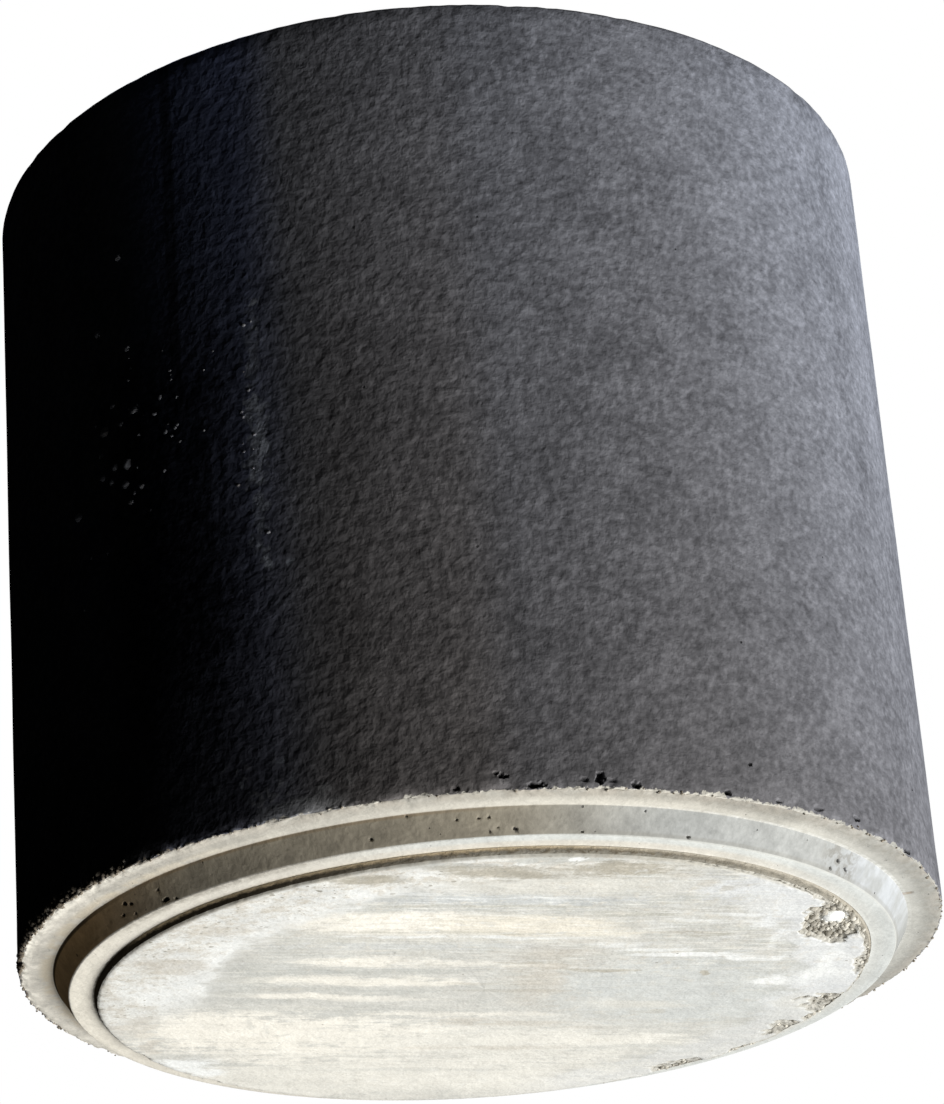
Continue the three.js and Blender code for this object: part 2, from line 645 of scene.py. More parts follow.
# colours of the pipe's finishes, and of what lies on it
castLook = {
    "wall": (0.162, 0.158, 0.164),
    "wallHigh": (0.342, 0.37, 0.446),
    "wallBlue": (0.165, 0.2, 0.35),
    "wallBrown": (0.218, 0.198, 0.186),
    "lime": (0.7, 0.76, 0.88),
    "crustWhite": (0.95, 0.91, 0.81),
    "crust": (0.64, 0.615, 0.545),
    "crustGrey": (0.47, 0.468, 0.435),
    "crustBrown": (0.3, 0.225, 0.16),
    "crustWarm": (0.78, 0.69, 0.53),
    "bandBrown": (0.26, 0.18, 0.095),
    "band": (0.32, 0.29, 0.23),
    "bandPale": (0.405, 0.415, 0.405),
    "bandBlue": (0.5, 0.525, 0.55),
    "ringCream": (0.84, 0.8, 0.7),
    "ring": (0.725, 0.695, 0.62),
    "ringPale": (0.71, 0.73, 0.7),
    "ringGrey": (0.63, 0.652, 0.635),
    # painted shade: shadeBlack for the deepest shade in the gap and at the band's root, gap mostly for
    # lighter shade in the gap and on the ring
    "shadeBlack": (0.03, 0.025, 0.018),
    "gap": (0.14, 0.12, 0.088),
    "gapGrey": (0.275, 0.26, 0.222),
    "gapBrown": (0.64, 0.52, 0.35),
    "plug": (0.675, 0.67, 0.625),
    "white": (0.93, 0.945, 0.925),
    "cream": (0.98, 0.945, 0.85),
    "warm": (0.87, 0.825, 0.715),
    "ivory": (0.87, 0.85, 0.775),
    "grey": (0.585, 0.592, 0.555),
    "blue": (0.64, 0.662, 0.655),
    "smooth": (0.66, 0.68, 0.66),
    "brown": (0.6, 0.56, 0.485),
    "beige": (0.5, 0.47, 0.395),
    "pale": (0.745, 0.732, 0.67),
    "olive": (0.54, 0.53, 0.46),
    "side": (0.8, 0.822, 0.835),
    "sand": (0.48, 0.445, 0.375),
    "grit": (0.44, 0.425, 0.375),
    "gritPale": (0.6, 0.585, 0.53),
    "gritDark": (0.22, 0.2, 0.165),
    # painted shade inside holes, pits and pores, also used for a seam's dark line
    "hole": (0.03, 0.03, 0.032),
    "bore": (0.33, 0.325, 0.31),
    "boreDark": (0.23, 0.225, 0.215),
    "roughness": 0.92,
    "gloss": 0.0,            # the dry surface has next to no shine
    "screedTurn": 14.0,      # degrees between the screed's strokes and +X
}


# the pale crust of the shoulder, which also climbs the foot of the wall: white at the left, grey
# at the right
def crustColour(f, place, side):
    patch = f.clouds(place, 0.026, 3, 0.65)
    crumbs = f.clouds(place, 0.0042, 2, 0.6)
    colour = f.layers("crustWhite", (side.fade(-0.37, -0.12), "crust"), (side.fade(0.12, 0.36), "crustGrey"))
    return f.toned(colour, patch * 0.44 + crumbs * 0.22 + 0.67), crumbs, patch


# the colour of gravel and sand laid bare, and its grains
def bareGrit(f, place):
    swirl = f.vector("MULTIPLY", f.clouds(place, 0.006, 2, 0.5, "Color"), (0.004, 0.004, 0.004))
    grains, kind = f.cells(f.vector("ADD", place, swirl), 0.0044)
    colour = f.layers("grit", (kind.fade(0.1, 0.9), "gritPale"), (grains.fade(0.4, 0.9, 0.6), "gritDark"))
    return colour, grains


# upright bands on the wall where the mould left it paler or darker:
# azimuth in radians, reach, and change of tone
wallBands = [
    (-0.47, 0.12, -0.14),
    (-0.34, 0.1, 0.12),
    (-0.2, 0.2, 0.07),
    (0.26, 0.08, -0.05),
    (0.44, 0.12, 0.05),
    (0.68, 0.12, 0.03),
    (0.88, 0.16, 0.04),
    (1.12, 0.12, -0.05),
    (1.22, 0.1, 0.07),
]


# a run of lime down the wall: azimuth in degrees, height, half width, half height, and strength
limeRun = inMetres([
    (-21.9, 331, 5.8, 10, 1),
    (-22.4, 311, 5.5, 11, 0.8),
    (-22.2, 320, 10, 36, 0.55),
    (-22.7, 359, 5.6, 20, 0.65),
    (-22.2, 405, 8, 50, 0.3),
    (-22, 450, 3, 2.6, 0.8),
    (-21.6, 428, 4.2, 2.2, 0.85),
    (-21.2, 418, 4, 3, 0.75),
    (-22.8, 398, 3.6, 2.6, 0.55),
    (-21.5, 280, 4.6, 4, 0.65),
    (-22.6, 262, 6, 30, 0.36),
    (-21.8, 233, 4, 10, 0.95),
    (-18.9, 228, 3.6, 3, 0.85),
    (-22.9, 247, 3.4, 3, 0.5),
    (-21.3, 72.5, 6, 1.6, 0.3),
    (-19.9, 58.2, 3, 3, 0.35),
    (-26.4, 61.2, 1.8, 2.6, 0.4),
], 3)


def wallFinish():
    f = Finish("castWall")
    place, xyz, turn = f.place()[:3]
    height = xyz.other("Z")
    grain = f.clouds(place, 0.009, 4, 0.55)
    speck = f.clouds(place, 0.0062)
    mottle = f.clouds(place, 0.12, 4, 0.8)
    drift = f.clouds(place, 0.034, 3, 0.6)
    # paler and bluer towards the top and the right
    rightward = xyz.fade(0.15, 0.45)
    colour = f.layers(
        "wall",
        (height * 0.65 + rightward * 0.26 + rightward * height * 0.6, "wallHigh"),
        (turn.near(-0.52, 0.24) * (height * 1.1 + 0.22), "wallBlue"),
        (turn.near(-0.1, 0.24) * (0.55 - height * 0.6), "wallBrown"),
    )
    tone = mottle * 0.8 + drift * 0.82 + grain * 0.48 + speck.fade(0.3, 0.9) * (0.68 - rightward * 0.14)
    tone = tone + rightward * 0.06 - 0.25 - turn.near(-0.62, 0.2, 0.46) * height.near(0.27, 0.22)
    tone = tone + turn.near(-0.6, 0.24, 0.7) * height.fade(0.4, 0.66)
    tone = tone + turn.near(-0.06, 0.34, 0.09) * height.near(0.49, 0.14)
    tone = sum((turn.near(*band) for band in wallBands), tone)
    # a faint seam, smears and a run of lime
    smear = turn.near(-0.34, 0.12) * (height + (drift - 0.5) * 0.016).fade(0.045, 0.037)
    scuffs = turn.near(-0.38, 0.2) * height.near(0.054, 0.034) * grain.fade(0.5, 0.62)
    colour = f.layers(
        f.toned(colour, tone),
        (turn.near(-0.576, 0.02) * height.fade(0.34, 0.42, 0.6), "hole"),
        ((smear * (grain * 0.42 + 0.1)).most(scuffs * drift.fade(0.44, 0.6, 0.22)), "side"),
    )
    raggedness = (grain - 0.5) * 3.2 + (speck - 0.5) * 2.4
    unrolled = f.add("CombineXYZ", {}, {"X": turn, "Y": height})
    for degrees, middle, halfWidth, halfHeight, strength in limeRun:
        gap = f.away(unrolled, (math.radians(degrees), middle), (halfWidth / outerRadius, halfHeight))
        colour = f.blend((gap + raggedness).fade(1.3, 0.1, strength), colour, "lime")
    pores = f.spots(place, 0.019, 0.07, 0.07)
    # the pale crust ends on the wall in a ragged line, with brown crumbs at the far left
    crust, crumbs, lumps = crustColour(f, place, xyz)
    farLeft = xyz.fade(-0.08, -0.3, 0.92) * (height + (lumps - 0.5) * 0.004).fade(0.0272, 0.0292)
    tan = xyz.fade(0.14, 0.26, 0.6) * crumbs.fade(0.5, 0.66) * lumps.fade(0.42, 0.6)
    crust = f.layers(crust, (farLeft * crumbs.fade(0.64, 0.49), "crustBrown"), (tan, "crustBrown"))
    ragged = (f.clouds(place, 0.006, 4, 0.65) - 0.5) * 0.01 + (lumps - 0.5) * 0.012
    ragged = ragged - turn.near(0.52, 0.4) * lumps.fade(0.48, 0.62, 0.0042)
    climb = ragged + xyz.fade(-0.1, -0.34, 0.014) * (crumbs - 0.5)
    onWall = (height + climb).fade(shoulderHeight + 0.0018, shoulderHeight + 0.0026)
    # painted shade: the pores and the deep parts of the holes are painted dark
    colour = f.blend(onWall, crust, f.blend(pores * 0.7, colour, "hole"))
    colour = f.blend(f.lost().fade(0.0016, 0.0036, 0.85) * onWall, colour, "hole")
    return f.shade(colour, grain * 0.0019 - pores * 0.0009)


# paler and darker stretches of the shoulder: azimuth in radians, reach, and change of tone
shoulderBands = [
    (-1.12, 0.34, 0.1),
    (-0.24, 0.2, -0.07),
    (-0.04, 0.14, -0.04),
    (0.63, 0.16, -0.1),
    (0.88, 0.18, 0.08),
]


def jointFinish():
    f = Finish("castJoint")
    place, xyz, turn, radius = f.place()
    height = xyz.other("Z")
    leftward = xyz.fade(-0.12, -0.3)
    rightward = xyz.fade(0.05, 0.19)
    crust, crumbs, lumps = crustColour(f, place, xyz)
    blotch = f.clouds(place, 0.009, 3, 0.7)
    clods = f.clouds(f.vector("MULTIPLY", place, (1, 1, 2.6)), 0.0072, 3, 0.7)
    pits = f.spots(place, 0.008, 0.13, 0.15)
    # the shoulder is whiter by the spigot and dirtier by the arris, with a pale line and a short
    # crack at its root
    root = radius.fade(0.356, 0.3475)
    tone = root * (xyz.fade(-0.2, 0.05, 0.12) + 0.04) - xyz.fade(0.2, 0.33, 0.07) + 0.93
    tone = tone - turn.near(-0.95, 0.75, 0.22) * radius.near(0.355, 0.0085)
    tone = tone - turn.near(0.36, 0.55, 0.13) * radius.fade(0.355, 0.362)
    tone = tone + turn.near(-1.15, 0.5, 0.1) * radius.fade(0.36, 0.366)
    tone = sum((turn.near(*band) for band in shoulderBands), tone)
    tone = tone + (lumps - 0.5) * leftward * 0.46 + (blotch - 0.5) * (rightward * 0.34 + leftward * 0.42)
    clean = turn.fade(-1.02, -0.8)
    rim = radius.fade(0.3655, 0.369) * crumbs.fade(0.44, 0.58)
    grime = (radius.fade(0.348, 0.362, 0.46) + 0.12) * blotch.fade(0.38, 0.7)
    crack = turn.near(1.335, 0.01) * radius.near(0.345, 0.0065)
    pale = (1 - turn.fade(1.22, 1.38, 0.65)) * blotch.fade(0.3, 0.7, 0.45)
    paleLine = (radius + (blotch - 0.5) * 0.003).near(spigotRoot + 0.0008, 0.003)
    shoulder = f.layers(
        f.toned(crust, tone),
        (leftward * root * lumps.fade(0.36, 0.56, 0.8), "crustWarm"),
        (radius.fade(0.352, 0.366, 0.2) * lumps.fade(0.4, 0.58) * clean, "crustBrown"),
        (rim * (leftward * 0.35 + 0.22) * clean, "crustBrown"),
        (grime * rightward, "gapGrey"),
        (crack * 0.6, "crustBrown"),
        # painted shade in the crease at the spigot's root, at the left
        (radius.near(spigotRoot + 0.0006, 0.0022, 0.12) * leftward, "gritDark"),
        (paleLine * pale * rightward, "white"),
    )
    # the band is brown and dark at the left, olive in the middle and grey at the right
    uneven = (lumps - 0.5) * 0.62 + (blotch - 0.5) * 0.56 + (crumbs - 0.5) * 0.3
    band = f.layers(
        "bandBrown",
        (xyz.fade(-0.31, -0.2), "band"),
        (xyz.fade(0, 0.16), "bandPale"),
        (turn.near(1.2, 0.34) * (lumps.fade(0.34, 0.62, 0.65) + 0.25), "bandBlue"),
    )
    band = f.layers(
        f.toned(band, 1 + uneven * (1 - turn.fade(0.8, 1.15, 0.55)) - turn.fade(1.4, 1.6, 0.2)),
        (turn.near(0.96, 0.1) * blotch.fade(0.44, 0.6, 0.45), "gap"),
        # painted shade inside the band's pits
        (f.lost().fade(0.0004, 0.0014, 0.85).most(pits * 0.7), "hole"),
    )
    # the ring is cream at the left, and whiter along its outer edge; at the left its outer edge carries a
    # painted shadow of the band's foot, its foot by the plug is painted shade, and its inner edge is painted
    # lighter and warmer to lift the plug's shade
    tone = radius.fade(0.318, 0.312, 0.08) * turn.near(-0.95, 0.42) - turn.fade(1.1, 1.3, 0.06)
    ring = f.layers(
        "ringCream",
        (xyz.fade(-0.34, -0.15), "ring"),
        (radius.fade(0.317, 0.325) * xyz.fade(-0.15, 0.02), "ringPale"),
        (xyz.fade(0.16, 0.34, 0.9), "ringGrey"),
    )
    shaded = turn.near(-0.66, 0.46) * (blotch.fade(0.34, 0.6, 0.7) + 0.3)
    footShade = radius.near(plugRoot + 0.0004, 0.0016) * blotch.fade(0.34, 0.56, 0.6)
    ring = f.layers(
        f.toned(ring, tone + lumps * 0.3 + crumbs * 0.22 + 0.74),
        (radius.fade(0.3136, 0.3108) * turn.near(-0.3, 0.75) * (lumps * 0.5 + 0.15), "crustWarm"),
        (radius.fade(0.319, 0.3285, 0.48) * shaded, "gap"),
        (crumbs.fade(0.64, 0.78, 0.35), "crustBrown"),
        (footShade * turn.fade(-0.98, -1.1), "gap"),
    )
    # the gap is painted nearly black at the left and dark brown in the middle as the shade that falls in it,
    # greyer low down and full of grit at the right, and the corner behind it is painted pale as mortar that
    # also lifts the shade there
    low = (height + (clods - 0.5) * 0.014).fade(0.0052, 0.0016, 0.85) * xyz.fade(-0.14, 0.04)
    corner = (height + (clods - 0.5) * 0.004).fade(0.0036, 0.0068) * turn.fade(-1.08, -0.9)
    gap = f.layers(
        "shadeBlack",
        (xyz.fade(-0.22, 0.02), "gap"),
        (low, f.toned("gapGrey", clods * 1.6 + 0.25)),
        (xyz.fade(0.12, 0.26, 0.75), f.toned("gapGrey", clods * 2.2 + lumps * 0.5 - 0.35)),
        (corner * (0.95 - turn.fade(0.1, 0.6, 0.25)), f.blend(turn.fade(0.05, 0.55), "gapBrown", "sand")),
    )
    onTip = height.fade(plugProud + 0.0014, plugProud + 0.0006)
    onShoulder = radius.fade(spigotRoot - 0.0004, spigotRoot + 0.0002)
    inGap = radius.fade(plugRoot + 0.0006, plugRoot - 0.0002)
    stained = radius.near(spigotRoot - 0.0002, 0.0014) * turn.near(-0.46, 0.66)
    colour = f.layers(
        band,
        (onShoulder, shoulder),
        (onTip * radius.fade(plugRoot - 0.0003, plugRoot + 0.0005), ring),
        (inGap, gap),
        # painted shade in the crease at the band's root, at the far left
        (radius.near(spigotRoot - 0.0006, 0.0012, 0.85) * turn.fade(-0.85, -1.1), "shadeBlack"),
        (stained * (lumps * 0.6 + 0.15), "bandBrown"),
        # painted shade that tones down the lit rounded edge of the tip at the right
        (radius.near(spigotTip + 0.0008, 0.0018, 0.3) * turn.fade(0.06, 0.34), "gapGrey"),
    )
    rough = crumbs * (onShoulder * 0.0001 + 0.0003) + clods * inGap * 0.0018
    return f.shade(colour, rough + lumps * 0.0016 + blotch * 0.0005 - pits * 0.0008 - crack * 0.001)


# hand strokes left by screed and brush: x, y of the middle, half length and half width in millimetres,
# colour, strength, and how streaky the stroke is
plugStrokes = [
    (-32, 141, 190, 75, "ivory", 0.75, 0.4),
    (-152, 226, 130, 50, "ivory", 0.8, 0.3),
    (8, 271, 120, 30, "ivory", 0.7, 0.3),
    (-72, 218, 200, 50, "ivory", 0.75, 0.2),
    (-217, 58, 83, 52.5, "cream", 0.9, 0.3),
    (-142, 88, 100, 40, "cream", 0.8, 0.4),
    (-162, 133, 100, 30, "cream", 0.55, 0.5),
    (-2, 138, 125, 15, "ivory", 0.6, 0.5),
    (38, 150, 75, 9, "ivory", 0.5, 0.5),
    (113, 166, 62, 18, "ivory", 0.75, 0.3),
    (138, 191, 48, 6, "grey", 0.55, 0.5),
    (8, 163, 65, 6, "brown", 0.5, 0.6),
    (33, 101, 45, 7, "brown", 0.55, 0.5),
    (-17, 83, 30, 9, "brown", 0.6, 0.5),
    (78, 123, 35, 4, "brown", 0.35, 0.6),
    (153, 38, 130, 82.5, "smooth", 0.85, 0.3),
    (188, 88, 65, 47.5, "smooth", 0.6, 0.2),
    (118, 68, 44, 13, "pale", 0.8, 0.5),
    (-158, -38, 40, 6, "brown", 0.4, 0.6),
    (98, 8, 60, 30, "smooth", 0.5, 0.4),
    (163, -147, 75, 35, "plug", 0.8, 0.4),
    (200, -200, 45, 30, "side", 0.75, 0.5),
    (-32, -132, 130, 30, "pale", 0.75, 0.6),
    (-97, -137, 75, 11, "pale", 0.6, 0.6),
    (-32, -115, 120, 9, "blue", 0.6, 0.7),
    (18, -212, 117, 15, "blue", 0.9, 0.5),
    (-52, -174, 90, 27, "cream", 1, 0),
    (36, -148, 80, 23, "warm", 1, 0),
    (96, -117, 40, 11, "warm", 0.8, 0.3),
    (8, -199, 107, 3, "olive", 0.65, 0.4),
    (113, -160, 35, 6, "olive", 0.6, 0.6),
    (-12, -142, 110, 2.5, "olive", 0.45, 0.5),
    (-12, -221, 25, 2, "white", 0.7, 0.5),
    (53, -208, 30, 2.5, "white", 0.7, 0.5),
    (-52, -216, 30, 1.5, "white", 0.5, 0.5),
    (-52, -142, 55, 3, "white", 0.8, 0.4),
    (38, -118, 45, 3.5, "white", 0.75, 0.4),
    (8, -129, 30, 2, "white", 0.5, 0.5),
    (-86, -88, 58, 12, "cream", 0.85, 0.4),
    (-12, -66, 55, 6, "cream", 0.6, 0.5),
    (38, -50, 35, 5, "cream", 0.5, 0.5),
    (-152, -81, 48, 12, "grey", 0.75, 0.5),
    (-82, -64, 80, 7, "grey", 0.7, 0.5),
    (-110, -47, 84, 12, "cream", 0.85, 0.4),
    (-42, -24, 35, 6.5, "cream", 0.8, 0.3),
    (-147, -38, 55, 4.5, "grey", 0.55, 0.5),
    (-87, -17, 85, 4.5, "grey", 0.5, 0.5),
    (-147, -16, 56, 7.5, "cream", 0.8, 0.4),
    (-92, 4, 60, 6.5, "cream", 0.4, 0.5),
    (-137, 19, 50, 6, "cream", 0.4, 0.5),
    (-192, 4, 50, 4, "grey", 0.45, 0.5),
    (-87, 34, 90, 4, "grey", 0.5, 0.6),
    (-32, 59, 75, 6.5, "cream", 0.6, 0.5),
    (-192, -54, 22, 35, "grey", 0.55, 0.3),
    (56, -70, 40, 31, "brown", 0.5, 0.6),
    (48, -6, 28, 58, "brown", 0.7, 0.6),
    (96, -25, 31, 4, "beige", 0.9, 0.4),
    (33, -58, 30, 2.5, "beige", 0.6, 0.5),
    (8, -11, 40, 3, "beige", 0.4, 0.5),
    (13, 8, 45, 3, "beige", 0.35, 0.6),
    (180, 3, 5, 6.5, "beige", 0.9, 0),
    (169, -97, 21, 6.5, "beige", 0.7, 0.4),
    (189, -91, 9, 4, "olive", 0.6, 0.3),
    (133, 91, 10, 5.5, "beige", 0.4, 0.3),
    (175, -126, 35, 4, "white", 0.5, 0.6),
    (199, -136, 21, 4.5, "white", 0.9, 0.3),
    (216, -116, 7, 17, "white", 0.9, 0.3),
    (232, -77, 5, 22, "white", 0.6, 0.3),
    (131, -66, 30, 4, "white", 0.7, 0.5),
    (166, -47, 45, 5, "white", 1, 0.3),
    (208, -29, 21, 6, "white", 1, 0.3),
    (103, -85, 25, 5, "white", 0.55, 0.5),
    (168, -216, 10, 10, "brown", 0.6, 0.5),
    (193, -198, 7, 7.5, "beige", 0.6, 0.4),
    (150, -237, 13, 5, "brown", 0.5, 0.5),
    (-72, 168, 75, 4, "grey", 0.35, 0.6),
    (-192, 48, 4, 15, "grey", 0.4, 0.4),
    (-181, 68, 4, 13, "grey", 0.35, 0.4),
    (-62, 208, 80, 4.5, "grey", 0.35, 0.6),
]

# patches on top of them, near the edge
edgeStrokes = [
    (100, 240, 50, 16, "pale", 0.6, 0.6),
    (62, -291, 48, 9, "grey", 0.85, 0.3),
    (-24, -297, 46, 8, "grey", 0.75, 0.3),
    (152, -258, 30, 8, "pale", 0.75, 0.3),
    (-237, -112, 32, 20, "brown", 0.55, 0.1),
    (-200, -190, 30, 12, "brown", 0.5, 0.1),
    (-262, -52, 20, 28, "white", 0.6, 0.2),
    (58, -237, 92, 22, "pale", 0.9, 0.3),
    (16, -275, 42, 14, "beige", 0.95, 0.4),
    (62, -268, 40, 15, "beige", 0.7, 0.5),
    (110, -260, 36, 17, "beige", 1, 0.4),
    (-85, -281, 36, 11, "beige", 1, 0.3),
    (71, -290, 5, 4.5, "white", 1, 0.1),
    (-92, -250, 30, 13, "white", 0.6, 0.4),
    (-32, -282, 15, 9, "white", 0.6, 0.5),
    (-275, 88, 10, 20, "brown", 0.5, 0.1),
    (-281, 33, 14, 31, "brown", 0.4, 0.1),
    (-62, 276, 140, 20, "pale", 0.6, 0.6),
    (-212, 205, 50, 16, "pale", 0.45, 0.6),
    (-257, 147, 34, 20, "white", 1, 0.3),
    (-237, 171, 22, 12, "white", 0.9, 0.5),
    (-252, 123, 25, 5, "grey", 0.5, 0.6),
    (233, 33, 18, 14, "white", 0.95, 0.4),
    (274, 8, 13, 40, "white", 0.75, 0.3),
    (243, 60, 23, 10, "grey", 0.55, 0.5),
    (253, 93, 22, 25, "pale", 0.5, 0.5),
    (226, 8, 15, 7, "grey", 0.4, 0.5),
]


def plugFinish():
    f = Finish("castPlug")
    place, xyz, turn, radius = f.place()
    angle = math.radians(castLook["screedTurn"])
    turned = f.add("VectorRotate", {"rotation_type": "Z_AXIS"}, {"Vector": place, "Angle": -angle})

    # noise drawn out along the strokes
    def drawn(stretch, size, detail, rough):
        return f.clouds(f.vector("MULTIPLY", turned, (stretch, 1, 1)), size, detail, rough)

    patch = f.clouds(place, 0.04, 4, 0.68)
    blotch = f.clouds(place, 0.013, 3, 0.66)
    grain = f.clouds(place, 0.004, 2, 0.6)
    streak = drawn(0.24, 0.018, 4, 0.7)
    thread = drawn(0.16, 0.0062, 3, 0.6)
    hair = drawn(0.11, 0.0034, 2, 0.6)
    side = xyz.other("Y")
    busy = (xyz * 0.35 - side).fade(-0.06, 0.2)      # the strokes show most at the front
    swirl = f.vector("SUBTRACT", f.clouds(place, 0.05, 3, 0.6, "Color"), (0.5, 0.5, 0.5))
    wander = f.vector("ADD", turned, f.vector("MULTIPLY", swirl, (0.07, 0.012, 0)))
    fray = (streak - 0.5) * 2.1 + (thread - 0.5) * 1.5 + (blotch - 0.5) * 1.7 + (grain - 0.5) * 0.8
    frays = {}      # by how streaky a stroke is

    # each stroke in turn: its edges wander, and it frays into the one below
    def paint(strokes, below):
        for x, y, halfLength, halfWidth, tone, strength, streaky in strokes:
            middle = Matrix.Rotation(-angle, 3, "Z") @ Vector((x / 1000, y / 1000, 0))
            gap = f.away(wander, middle, (halfLength / 1000, halfWidth / 1000))
            if streaky not in frays:
                frays[streaky] = fray * (0.42 + streaky * 1.4)
            reach = gap + frays[streaky]
            below = f.blend(reach.fade(1.2 + streaky * 0.4, 0.72 - streaky * 0.8, strength), below, tone)
        return below

    # the border that the screed missed: white and sandy at the front left, bluish white at the right
    fuzzy = (patch - 0.5) * 0.08 + (blotch - 0.5) * 0.03
    fromMiddle = f.vector("DISTANCE", place, (0.01, -0.025, 0), "Value")
    border = (fromMiddle + fuzzy).fade(0.21, 0.238) * (xyz * -0.6 + side * -0.8).fade(0.125, 0.185)
    sandy = border * (radius + fuzzy).fade(0.232, 0.285)
    specks = f.clouds(place, 0.005, 2, 0.75).fade(0.54, 0.66)
    rightMargin = (radius + fuzzy).fade(0.24, 0.262) * (xyz * 0.93 + side * 0.36).fade(0.1, 0.17)
    colour = f.layers(
        "plug",
        (streak.fade(0.44, 0.62) * (busy * 0.4 + 0.55), "grey"),
        (thread.fade(0.5, 0.7) * (busy * 0.4 + 0.22), "ivory"),
    )
    colour = f.layers(
        paint(plugStrokes, colour),
        (hair.fade(0.5, 0.72) * (busy * 0.32 + 0.1), "white"),
        (hair.fade(0.5, 0.3) * (busy * 0.3 + 0.08), "olive"),
        (border * 0.9, "white"),
        (sandy * 0.45, "pale"),
        (sandy * blotch.fade(0.42, 0.62, 0.6), "brown"),
        (specks * (sandy * 0.45 + border * 0.1), "sand"),
        (rightMargin * (1.05 - patch * 0.7 - side.fade(0.05, 0.14, 0.35)), "side"),
    )
    # specks, a brown and bluish mottle, and a lighter and darker grain
    dots = f.spots(place, 0.009, 0.42, 0.24).most(f.spots(place, 0.0066, 0.34, 0.2))
    colour = f.layers(
        paint(edgeStrokes, colour),
        (dots * (sandy * 0.75 + border * 0.4), "grit"),
        (blotch.fade(0.52, 0.74) * (busy * 0.36 + 0.24), "brown"),
        (blotch.fade(0.46, 0.24) * (busy * 0.34 + 0.22), "white"),
    )
    tone = patch * 0.42 + (blotch - 0.5) * (busy * 0.26 + 0.14) + (grain - 0.5) * (busy * 0.14 + 0.07) + 0.79
    tone = tone + ((streak - 0.5) * 0.44 + (thread - 0.5) * 0.24) * busy
    colour = f.toned(colour, tone - xyz.fade(0.05, 0.22, 0.05))
    # beige towards the edge, more at the right, painted shade on the rounded edge, strongest at the front
    # left, and gravel where the face is broken
    edgeBeige = (radius + (patch - 0.5) * 0.016).fade(plugFace - 0.006, plugFace - 0.0005)
    crumbled = (radius + (blotch - 0.5) * 0.005).fade(0.303, 0.3065, 0.8) * xyz.fade(0.185, 0.235)
    edgeShade = (radius + (grain - 0.5) * 0.003).fade(0.302, 0.3074) * turn.fade(-1.16, -0.86)
    edgeShadeStrength = 0.84 - turn.fade(-0.34, 0.1, 0.2) - turn.fade(0.3, 0.52, 0.36)
    lost = f.lost()
    grit, grains = bareGrit(f, place)
    bare = lost.fade(0.0006, 0.0018)
    colour = f.layers(
        colour,
        (f.spots(place, 0.017, 0.18, 0.08) * 0.6, "gritDark"),
        (edgeBeige * (xyz.fade(-0.05, 0.12, 0.45) + 0.12), "beige"),
        (crumbled * side.fade(-0.13, -0.08), "grit"),
        (edgeShade * edgeShadeStrength, "gapGrey"),
        (lost.fade(0.0002, 0.0008, 0.75), "grit"),
        (bare * 0.9, grit),
    )
    lines = (thread * 0.0002 + streak * 0.0007) * (1 - border * 0.8)
    relief = lines + patch * 0.0016 + blotch * 0.0007 + grain * 0.0004
    return f.shade(colour, relief - grains * bare * 0.0014)


def insideFinish():
    f = Finish("castInside")
    place = f.place()[0]
    tone = f.clouds(f.vector("MULTIPLY", place, (1, 1, 0.35)), 0.045, 4, 0.6)
    grain = f.clouds(place, 0.004, 2, 0.6)
    pores = f.spots(place, 0.014, 0.3, 0.16)
    # painted shade inside the pores
    colour = f.layers("boreDark", (tone.fade(0.35, 0.7), "bore"), (pores * 0.8, "hole"))
    return f.shade(colour, grain * 0.001 - pores * 0.0012)


def makePipe():
    addHiddenHoles()
    mesh = pipeMesh()
    for makeFinish in (wallFinish, jointFinish, plugFinish, insideFinish):
        mesh.materials.append(makeFinish())
    piece = addObject("castPipe", mesh)
    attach(piece, "root")
    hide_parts("pipe")
    triangles = sum(len(polygon.vertices) - 2 for polygon in mesh.polygons)
    print("pipe made,", triangles, "triangles")


makePipe()


# pebbles laid bare in the nest and along the broken edge, and crumbs of mortar along the arris
pebbleSet = {
    "seed": 7,
    "count": 130,
    "tries": 9000,
    "bigTries": 400,         # these come first and lay only big ones
    "smallest": 0.0011,      # radius in metres
    "largest": 0.0038,
    "flatness": 0.9,
    "lump": (0.274, -0.107, 0.0094),    # a lump of white plaster among them: x, y and radius
    "edgeCount": 150,        # more of them in the broken stretches of the edge at the right
    "edgeSmallest": 0.001,
    "edgeLargest": 0.0022,
    "crumbSeed": 11,
    "crumbCount": 340,       # crumbs of mortar held in the broken arris
    "crumbTries": 20000,
    "crumbSmallest": 0.0007,
    "crumbLargest": 0.0018,
    "farLeftGrowth": 1.9,    # the largest there and elsewhere, as shares of crumbLargest
    "elsewhereGrowth": 0.8,
    "farLeftShare": 0.54,    # how many of the crumbs are laid at the far left
    "farLeftTurns": (-84, -44),
    "farLeftRise": 0.0038,
    "colours": [(0.31, 0.29, 0.245), (0.48, 0.455, 0.395), (0.8, 0.765, 0.675)],
    "crumbColours": [(0.17, 0.14, 0.105), (0.37, 0.32, 0.25), (0.62, 0.58, 0.5)],
}


def addPebble(heap, place, size, flatness, dice, lumpy=0.3):
    tilt = Matrix.Rotation(dice.uniform(-0.4, 0.4), 4, "X")
    turned = Matrix.Translation(place) @ Matrix.Rotation(dice.uniform(0, 6.3), 4, "Z") @ tilt
    stretch = Matrix.Diagonal((size * dice.uniform(0.85, 1.2), size, size * flatness, 1))
    shift = Vector((dice.uniform(0, 50), 0, 0))
    for vert in bmesh.ops.create_icosphere(heap, subdivisions=2, radius=1)["verts"]:
        vert.co *= 1 + lumpy * noise.noise(vert.co * 1.3 + shift)
        vert.co = turned @ stretch @ vert.co


